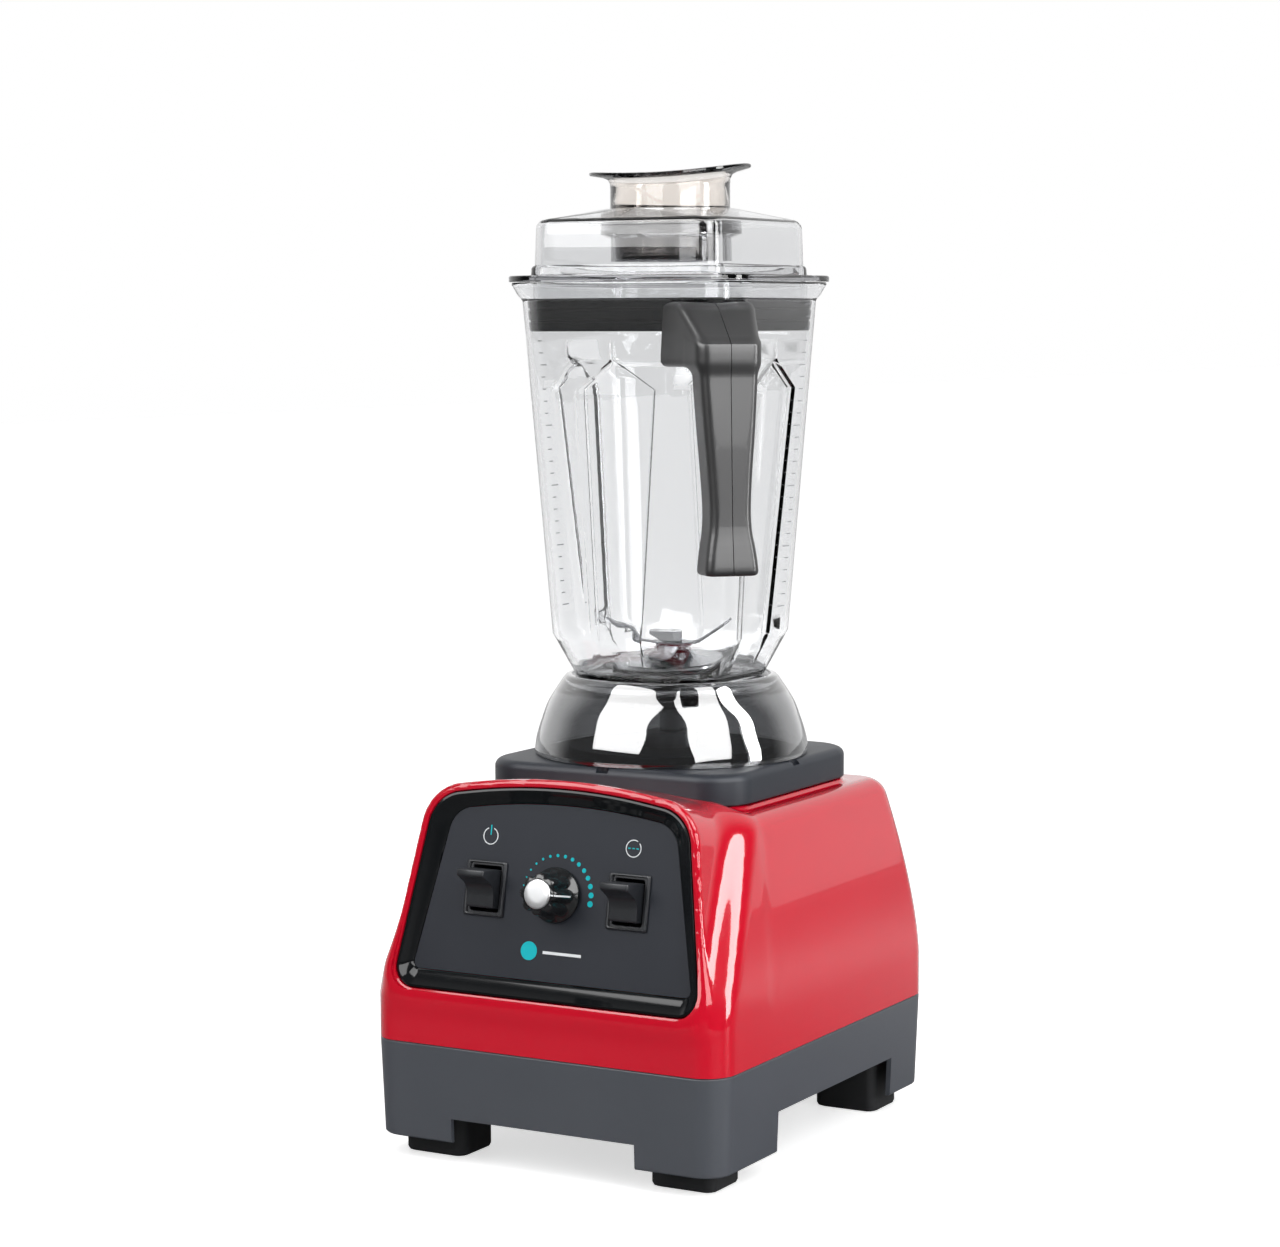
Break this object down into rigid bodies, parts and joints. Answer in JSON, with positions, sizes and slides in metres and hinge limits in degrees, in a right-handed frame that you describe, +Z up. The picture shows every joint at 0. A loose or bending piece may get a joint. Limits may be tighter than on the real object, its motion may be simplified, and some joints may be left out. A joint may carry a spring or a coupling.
{
  "type": "countertop blender",
  "caption": "Countertop blender: leaning motor base with a control panel, square clear jar with a side handle, rotating blades, clear lid and lift-out plug.",
  "frame": {"origin": "on the table, under the middle of the base", "axes": "+Z up, -Y towards the user (the control panel), +X to the user's right"},
  "size_m": [0.226, 0.2742, 0.5616],
  "materials": {
    "red_housing": "deep red high-gloss moulded ABS",
    "grey_housing": "slate grey satin moulded plastic",
    "rubber": "matte black rubber",
    "jar_pad": "dark slate satin rubber",
    "gasket": "black silicone",
    "steel": "machined steel",
    "blade_steel": "polished stainless steel",
    "cast_aluminium": "cast aluminium",
    "bright_aluminium": "spun bright aluminium",
    "copper": "bare copper segments",
    "black_plastic": "black moulded nylon",
    "gloss_black": "high-gloss black plastic",
    "knob_black": "gloss black phenolic",
    "panel_face": "fine-textured charcoal plastic",
    "switch_black": "satin black plastic",
    "handle_black": "gloss black moulded plastic",
    "clear_jar": "clear polycarbonate",
    "smoky_clear": "smoky clear polycarbonate",
    "amber_clear": "faintly amber clear plastic",
    "circuit_board": "green printed circuit board"
  },
  "bodies": {
    "base": {"upper_housing": "red_housing", "lower_housing": "grey_housing", "foot_front_left": "rubber", "foot_front_right": "rubber", "foot_rear_left": "rubber", "foot_rear_right": "rubber", "base_screw_front_left": "steel", "base_screw_front_right": "steel", "base_screw_rear_left": "steel", "base_screw_rear_right": "steel", "panel_surround": "gloss_black", "panel_plate": "panel_face", "power_switch_frame": "switch_black", "pulse_switch_frame": "switch_black", "speed_potentiometer": "steel", "jar_pad": "jar_pad", "lower_motor_bracket": "cast_aluminium", "upper_motor_bracket": "cast_aluminium", "lower_bearing": "steel", "upper_bearing": "steel", "motor_stator": "steel", "motor_tie_rod_front_left": "steel", "motor_tie_rod_front_right": "steel", "motor_tie_rod_rear_left": "steel", "motor_tie_rod_rear_right": "steel", "brush_holder_left": "black_plastic", "brush_holder_right": "black_plastic", "fan_shroud": "black_plastic", "control_board": "circuit_board", "cord_gland": "rubber"},
    "rotor": {"motor_shaft": "steel", "armature": "steel", "commutator": "copper", "cooling_fan": "black_plastic", "drive_socket": "steel"},
    "knob": {"speed_knob": "knob_black", "knob_cap": "bright_aluminium", "control_shaft": "steel"},
    "power_paddle": {"power_switch_paddle": "switch_black"},
    "pulse_paddle": {"pulse_switch_paddle": "switch_black"},
    "jar": {"jar": "clear_jar", "jar_skirt": "smoky_clear", "retainer_nut": "black_plastic", "jar_floor_seal": "gasket", "blade_bearing_housing": "steel", "upper_blade_bearing": "steel", "lower_blade_bearing": "steel", "handle_left_shell": "handle_black", "handle_right_shell": "handle_black", "handle_screw_upper": "steel", "handle_screw_lower": "steel"},
    "blades": {"blade_shaft": "steel", "lower_blade": "blade_steel", "upper_blade": "blade_steel", "blade_nut": "steel", "blade_coupling": "steel"},
    "lid": {"lid_cover": "clear_jar", "lid_gasket": "gasket"},
    "plug": {"lid_plug": "amber_clear"}
  },
  "joints": [
    {"name": "motor_spin", "type": "hinge", "parent": "base", "child": "rotor", "pos_m": [0, 0.0175, 0.15], "axis": [0, 0, 1], "continuous": true},
    {"name": "knob_turn", "type": "hinge", "parent": "base", "child": "knob", "pos_m": [0, -0.11472, 0.1553], "axis": [0, -0.982, 0.1891], "range_deg": [-45, 225]},
    {"name": "power_paddle_tilt", "type": "hinge", "parent": "base", "child": "power_paddle", "pos_m": [-0.046, -0.11472, 0.1553], "axis": [1, 0, 0], "range_deg": [0, 20]},
    {"name": "pulse_paddle_tilt", "type": "hinge", "parent": "base", "child": "pulse_paddle", "pos_m": [0.046, -0.11472, 0.1553], "axis": [1, 0, 0], "range_deg": [0, 20], "stiffness_Nm_per_rad": 0.2, "springref_deg": -5.73},
    {"name": "jar_lift", "type": "slide", "parent": "base", "child": "jar", "axis": [0, 0, 1], "range_m": [0, 0.06]},
    {"name": "blade_spin", "type": "hinge", "parent": "jar", "child": "blades", "pos_m": [0, 0.0175, 0.26], "axis": [0, 0, 1], "continuous": true},
    {"name": "lid_lift", "type": "slide", "parent": "jar", "child": "lid", "axis": [0, 0, 1], "range_m": [0, 0.06]},
    {"name": "plug_lift", "type": "slide", "parent": "lid", "child": "plug", "axis": [0, 0, 1], "range_m": [0, 0.05]}
  ],
  "couplings": [
    {"joint": "blade_spin", "follows": "motor_spin", "ratio": 1}
  ]
}
